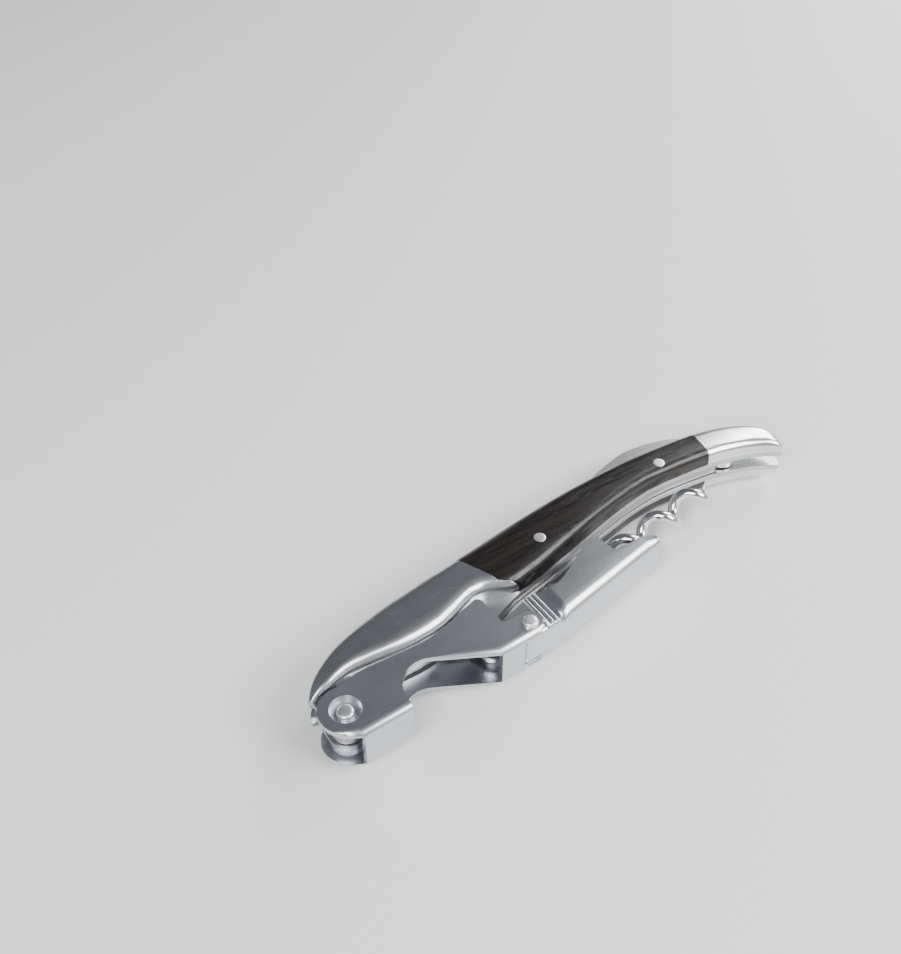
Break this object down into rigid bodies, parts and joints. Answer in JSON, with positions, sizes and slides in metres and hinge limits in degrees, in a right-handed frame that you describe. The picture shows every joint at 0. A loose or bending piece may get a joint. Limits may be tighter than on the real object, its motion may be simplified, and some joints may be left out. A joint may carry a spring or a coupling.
{
  "type": "waiters corkscrew",
  "caption": "Folding two-stage waiter's corkscrew with a curved steel and dark wood handle, hinged lever with bottle opener, helical worm and foil knife, folded shut on its side.",
  "frame": {"origin": "centre of the folded tool's bounding box, on the plane it rests on", "axes": "+X from the lever's pivot end to the tail of the handle, +Y to the back edge where the foil knife folds in, +Z across the thickness"},
  "size_m": [0.1395, 0.0374, 0.0156],
  "materials": {
    "satin_steel": "satin",
    "lever_steel": "satin, slightly darker pressed sheet",
    "bright_steel": "polished",
    "blade_steel": "fine polished",
    "dark_wood": "satin oiled"
  },
  "bodies": {
    "handle": {"liner_upper": "satin_steel", "liner_lower": "satin_steel", "front_bolster_upper": "satin_steel", "front_bolster_lower": "satin_steel", "tail_bolster_upper": "satin_steel", "tail_bolster_lower": "satin_steel", "wood_scale_upper": "dark_wood", "wood_scale_lower": "dark_wood", "nose_spacer": "satin_steel", "back_spring": "satin_steel", "scale_pin_front": "bright_steel", "scale_pin_rear": "bright_steel", "bolster_pin_nose": "bright_steel", "bolster_pin_heel": "bright_steel", "knife_pivot_pin": "bright_steel", "worm_pivot_pin": "bright_steel", "lever_pivot_rivet": "bright_steel"},
    "lever": {"lever_first_stage": "lever_steel", "lever_hinge_rivet": "bright_steel"},
    "extension": {"lever_second_stage": "lever_steel"},
    "worm": {"worm": "bright_steel"},
    "knife": {"foil_knife": "blade_steel"}
  },
  "joints": [
    {"name": "lever_hinge", "type": "hinge", "parent": "handle", "child": "lever", "pos_m": [-0.0639, -0.01115, 0.0078], "axis": [0, 0, -1], "range_deg": [0, 125]},
    {"name": "extension_hinge", "type": "hinge", "parent": "lever", "child": "extension", "pos_m": [-0.0192, -0.01485, 0.0078], "axis": [0, 0, -1], "range_deg": [0, 95]},
    {"name": "worm_hinge", "type": "hinge", "parent": "handle", "child": "worm", "pos_m": [-0.0262, -0.01105, 0.0078], "axis": [0, 0, -1], "range_deg": [0, 96.5]},
    {"name": "knife_hinge", "type": "hinge", "parent": "handle", "child": "knife", "pos_m": [0.0573, 0.00455, 0.0078], "axis": [0, 0, -1], "range_deg": [0, 165]}
  ],
  "couplings": [
    {"joint": "worm_hinge", "follows": "lever_hinge", "ratio": 0.772}
  ]
}
